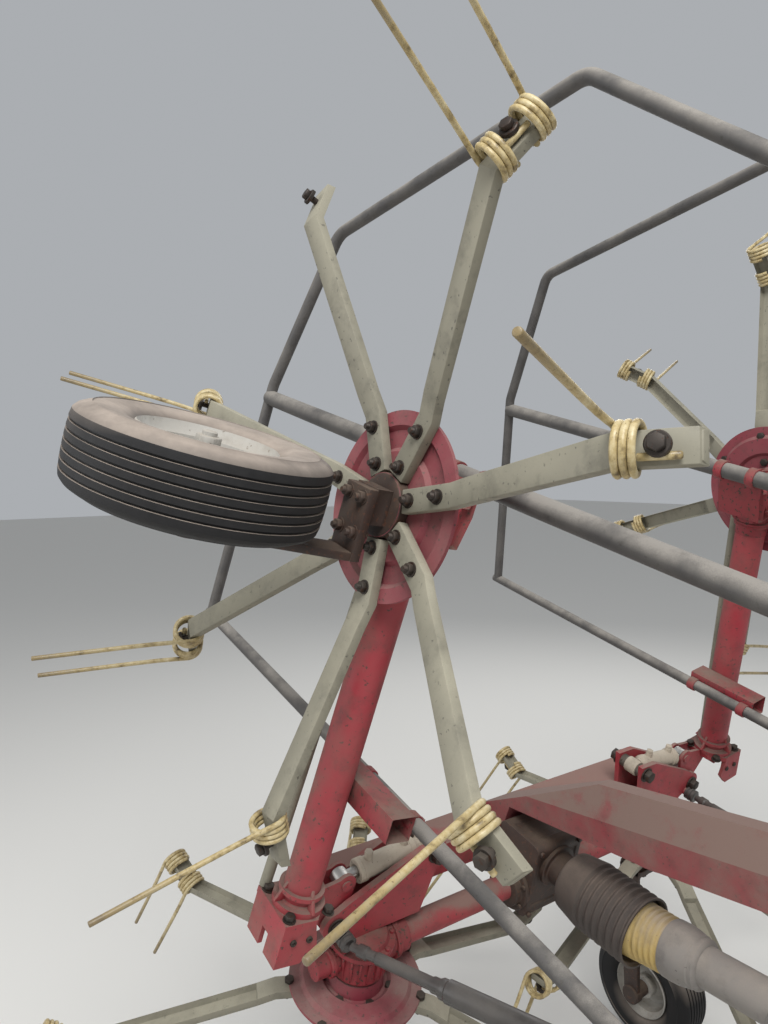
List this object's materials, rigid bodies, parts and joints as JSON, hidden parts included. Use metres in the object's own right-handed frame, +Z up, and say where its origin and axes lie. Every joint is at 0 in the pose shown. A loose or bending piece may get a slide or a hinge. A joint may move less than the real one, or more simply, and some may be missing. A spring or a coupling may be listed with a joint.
{
  "type": "folded four-rotor rotary tedder",
  "caption": "Mounted rotary hay tedder with both wings folded up: tined rotors on tilted gearboxes, ribbed wheels, tube guards, fold cylinders, swivel headstock and parking leg.",
  "frame": {"origin": "centre of the bounding box on the ground", "axes": "+Y the way it is towed, +X its own right-hand side, +Z up"},
  "size_m": [2.6059, 2.4824, 2.5468],
  "materials": {
    "black_paint": "dusty satin",
    "chrome": "bright",
    "cream_paint": "dusty",
    "grey_paint": "dusty matt",
    "guard_plastic": "dusty",
    "red_paint": "dusty worn gloss",
    "rim_paint": "dusty matt",
    "spring_steel": "worn lacquer",
    "steel": "dull",
    "tyre": "dusty"
  },
  "bodies": {
    "frame": {"cross_beam": "red_paint", "drive_tubes": "red_paint", "centre_gearbox": "red_paint", "gearbox_inner_right": "red_paint", "gearbox_inner_left": "red_paint", "hinge_brackets": "red_paint", "fold_pins": "steel", "cylinder_pins": "steel", "wheel_leg_inner_right": "red_paint", "wheel_leg_inner_left": "red_paint", "boom": "red_paint", "damper_barrels": "black_paint", "drive_shaft": "steel", "shaft_guard": "guard_plastic"},
    "wing_right": {"wing_tube_right": "red_paint", "hinge_block_right": "red_paint", "gearbox_outer_right": "red_paint", "wing_guard_right": "black_paint", "guard_brackets_right": "red_paint", "tie_bar_right": "grey_paint", "wheel_leg_outer_right": "red_paint"},
    "rotor_inner_right": {"rotor_inner_right_disc": "red_paint", "rotor_inner_right_arms": "grey_paint", "rotor_inner_right_tines": "spring_steel"},
    "wheel_inner_right": {"tyre_inner_right": "tyre", "rim_inner_right": "rim_paint"},
    "rotor_outer_right": {"rotor_outer_right_disc": "red_paint", "rotor_outer_right_arms": "grey_paint", "rotor_outer_right_tines": "spring_steel"},
    "wheel_outer_right": {"tyre_outer_right": "tyre", "rim_outer_right": "rim_paint"},
    "fold_barrel_right": {"fold_barrel_right": "cream_paint"},
    "fold_rod_right": {"fold_rod_right": "chrome"},
    "damper_rod_right": {"damper_rod_right": "chrome"},
    "wing_left": {"wing_tube_left": "red_paint", "hinge_block_left": "red_paint", "gearbox_outer_left": "red_paint", "wing_guard_left": "black_paint", "guard_brackets_left": "red_paint", "tie_bar_left": "grey_paint", "wheel_leg_outer_left": "red_paint"},
    "rotor_inner_left": {"rotor_inner_left_disc": "red_paint", "rotor_inner_left_arms": "grey_paint", "rotor_inner_left_tines": "spring_steel"},
    "wheel_inner_left": {"tyre_inner_left": "tyre", "rim_inner_left": "rim_paint"},
    "rotor_outer_left": {"rotor_outer_left_disc": "red_paint", "rotor_outer_left_arms": "grey_paint", "rotor_outer_left_tines": "spring_steel"},
    "wheel_outer_left": {"tyre_outer_left": "tyre", "rim_outer_left": "rim_paint"},
    "fold_barrel_left": {"fold_barrel_left": "cream_paint"},
    "fold_rod_left": {"fold_rod_left": "chrome"},
    "damper_rod_left": {"damper_rod_left": "chrome"},
    "stand": {"stand_leg": "steel"},
    "headstock": {"headstock": "red_paint"}
  },
  "joints": [
    {"name": "fold_right", "type": "hinge", "parent": "frame", "child": "wing_right", "pos_m": [0.631, -0.322, 0.8053], "axis": [0, 0.9668, -0.2554], "range_deg": [0, 100]},
    {"name": "fold_barrel_tilt_right", "type": "hinge", "parent": "frame", "child": "fold_barrel_right", "pos_m": [0.38, -0.32648, 0.90578], "axis": [0, 0.9668, -0.2554], "range_deg": [-0.2, 9.95]},
    {"name": "fold_rod_slide_right", "type": "slide", "parent": "fold_barrel_right", "child": "fold_rod_right", "axis": [0.997, -0.0196, -0.0743], "range_m": [-0.002, 0.11982]},
    {"name": "fold_left", "type": "hinge", "parent": "frame", "child": "wing_left", "pos_m": [-0.631, -0.322, 0.8053], "axis": [0, -0.9668, 0.2554], "range_deg": [0, 100]},
    {"name": "fold_barrel_tilt_left", "type": "hinge", "parent": "frame", "child": "fold_barrel_left", "pos_m": [-0.38, -0.32648, 0.90578], "axis": [0, -0.9668, 0.2554], "range_deg": [-0.2, 9.95]},
    {"name": "fold_rod_slide_left", "type": "slide", "parent": "fold_barrel_left", "child": "fold_rod_left", "axis": [-0.997, -0.0196, -0.0743], "range_m": [-0.002, 0.11982]},
    {"name": "spin_inner_right", "type": "hinge", "parent": "frame", "child": "rotor_inner_right", "pos_m": [0.545, -0.37054, 0.6216], "axis": [0, 0.2554, 0.9668], "continuous": true},
    {"name": "roll_inner_right", "type": "hinge", "parent": "frame", "child": "wheel_inner_right", "pos_m": [0.545, -0.3805, 0.165], "axis": [1, 0, 0], "continuous": true},
    {"name": "spin_inner_left", "type": "hinge", "parent": "frame", "child": "rotor_inner_left", "pos_m": [-0.545, -0.37054, 0.6216], "axis": [0, 0.2554, 0.9668], "continuous": true},
    {"name": "roll_inner_left", "type": "hinge", "parent": "frame", "child": "wheel_inner_left", "pos_m": [-0.545, -0.3805, 0.165], "axis": [-1, 0, 0], "continuous": true},
    {"name": "spin_outer_right", "type": "hinge", "parent": "wing_right", "child": "rotor_outer_right", "pos_m": [0.64101, -0.08642, 1.69695], "axis": [-0.9848, -0.0444, -0.1679], "continuous": true},
    {"name": "roll_outer_right", "type": "hinge", "parent": "wing_right", "child": "wheel_outer_right", "pos_m": [0.98569, -0.10956, 1.76593], "axis": [-0.1736, 0.2516, 0.9521], "continuous": true},
    {"name": "spin_outer_left", "type": "hinge", "parent": "wing_left", "child": "rotor_outer_left", "pos_m": [-0.64101, -0.08642, 1.69695], "axis": [0.9848, -0.0444, -0.1679], "continuous": true},
    {"name": "roll_outer_left", "type": "hinge", "parent": "wing_left", "child": "wheel_outer_left", "pos_m": [-0.98569, -0.10956, 1.76593], "axis": [0.1736, 0.2516, 0.9521], "continuous": true},
    {"name": "headstock_swivel", "type": "hinge", "parent": "frame", "child": "headstock", "pos_m": [0, 0.978, 1.035], "axis": [0, 0, 1], "range_deg": [-12, 12]},
    {"name": "stand_slide", "type": "slide", "parent": "frame", "child": "stand", "axis": [0, 0, 1], "range_m": [0, 0.3]},
    {"name": "damper_slide_right", "type": "slide", "parent": "frame", "child": "damper_rod_right", "axis": [-0.3202, 0.9474, 0], "range_m": [-0.03873, 0.03873]},
    {"name": "damper_slide_left", "type": "slide", "parent": "frame", "child": "damper_rod_left", "axis": [0.3202, 0.9474, 0], "range_m": [-0.03873, 0.03873]}
  ],
  "couplings": [
    {"joint": "fold_barrel_tilt_right", "follows": "fold_right", "ratio": 0.09752},
    {"joint": "fold_rod_slide_right", "follows": "fold_right", "m_per_rad": 0.067507},
    {"joint": "fold_barrel_tilt_left", "follows": "fold_left", "ratio": 0.09752},
    {"joint": "fold_rod_slide_left", "follows": "fold_left", "m_per_rad": 0.067507},
    {"joint": "spin_inner_left", "follows": "spin_inner_right", "ratio": -1},
    {"joint": "spin_outer_right", "follows": "spin_inner_right", "ratio": -1},
    {"joint": "spin_outer_left", "follows": "spin_inner_right", "ratio": 1},
    {"joint": "damper_slide_right", "follows": "headstock_swivel", "m_per_rad": 0.18013},
    {"joint": "damper_slide_left", "follows": "headstock_swivel", "m_per_rad": -0.18013}
  ]
}
